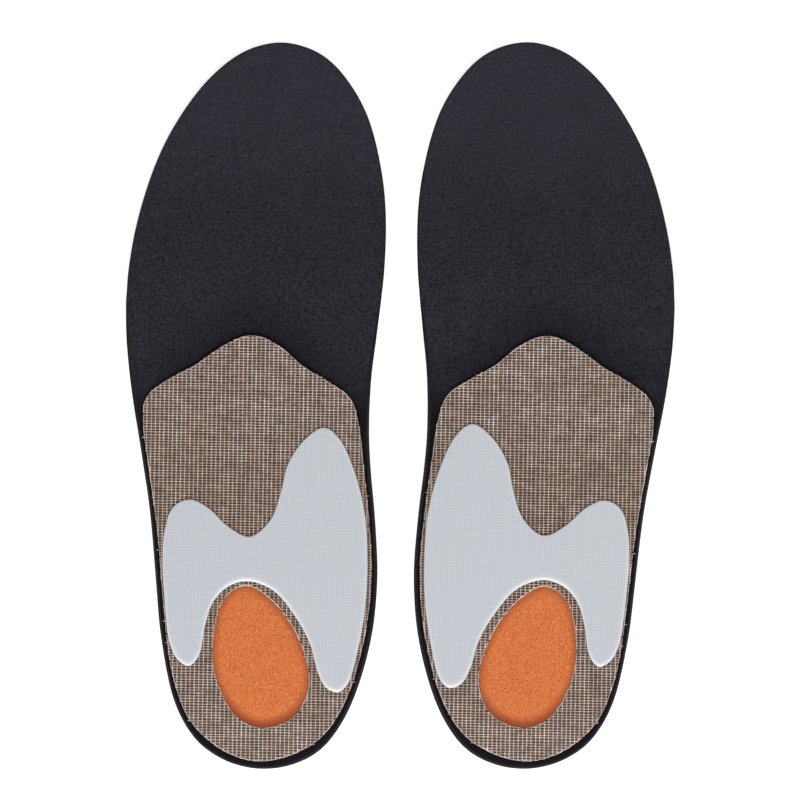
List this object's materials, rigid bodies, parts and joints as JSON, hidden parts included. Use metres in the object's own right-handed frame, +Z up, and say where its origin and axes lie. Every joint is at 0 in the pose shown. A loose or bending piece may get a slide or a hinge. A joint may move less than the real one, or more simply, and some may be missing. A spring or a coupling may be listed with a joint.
{
  "type": "cushioned insole",
  "caption": "Pair of cushioned insoles lying underside up: foam with heel cup, woven glass shell, stabiliser plate and inset round heel pad.",
  "frame": {"origin": "on the surface that the pair lies on, midway between the two insoles and midway along their length", "axes": "+Y from the heels to the toes, +Z up, out of the insoles' undersides, +X to the left-foot insole; the foot sides face down"},
  "size_m": [0.2034, 0.2716, 0.0179],
  "materials": {
    "black_foam": "fine-grained matte charcoal foam",
    "black_textile": "black knitted textile",
    "brown_board": "resin-bonded brown fibre board, mottled",
    "glass_cloth": "open plain weave of cream glass yarn",
    "pale_plastic": "satin translucent plastic with a fine grid texture",
    "orange_foam": "granular matte orange foam"
  },
  "bodies": {
    "right_insole": {"right_cushion_rear": "black_foam", "right_top_cover_rear": "black_textile", "right_shell_board": "brown_board", "right_glass_cloth": "glass_cloth", "right_stabiliser": "pale_plastic", "right_heel_pad": "orange_foam"},
    "right_forefoot": {"right_cushion_forefoot": "black_foam", "right_top_cover_forefoot": "black_textile"},
    "left_insole": {"left_cushion_rear": "black_foam", "left_top_cover_rear": "black_textile", "left_shell_board": "brown_board", "left_glass_cloth": "glass_cloth", "left_stabiliser": "pale_plastic", "left_heel_pad": "orange_foam"},
    "left_forefoot": {"left_cushion_forefoot": "black_foam", "left_top_cover_forefoot": "black_textile"}
  },
  "joints": [
    {"name": "right_forefoot_flex", "type": "hinge", "parent": "right_insole", "child": "right_forefoot", "pos_m": [-0.048, 0.04015, 0.01342], "axis": [1, 0, 0], "range_deg": [0, 50], "stiffness_Nm_per_rad": 0.06},
    {"name": "left_insole_lift", "type": "slide", "parent": "right_insole", "child": "left_insole", "axis": [0, 0, 1], "range_m": [0, 0.12]},
    {"name": "left_forefoot_flex", "type": "hinge", "parent": "left_insole", "child": "left_forefoot", "pos_m": [0.048, 0.04185, 0.01342], "axis": [1, 0, 0], "range_deg": [0, 50], "stiffness_Nm_per_rad": 0.06}
  ]
}
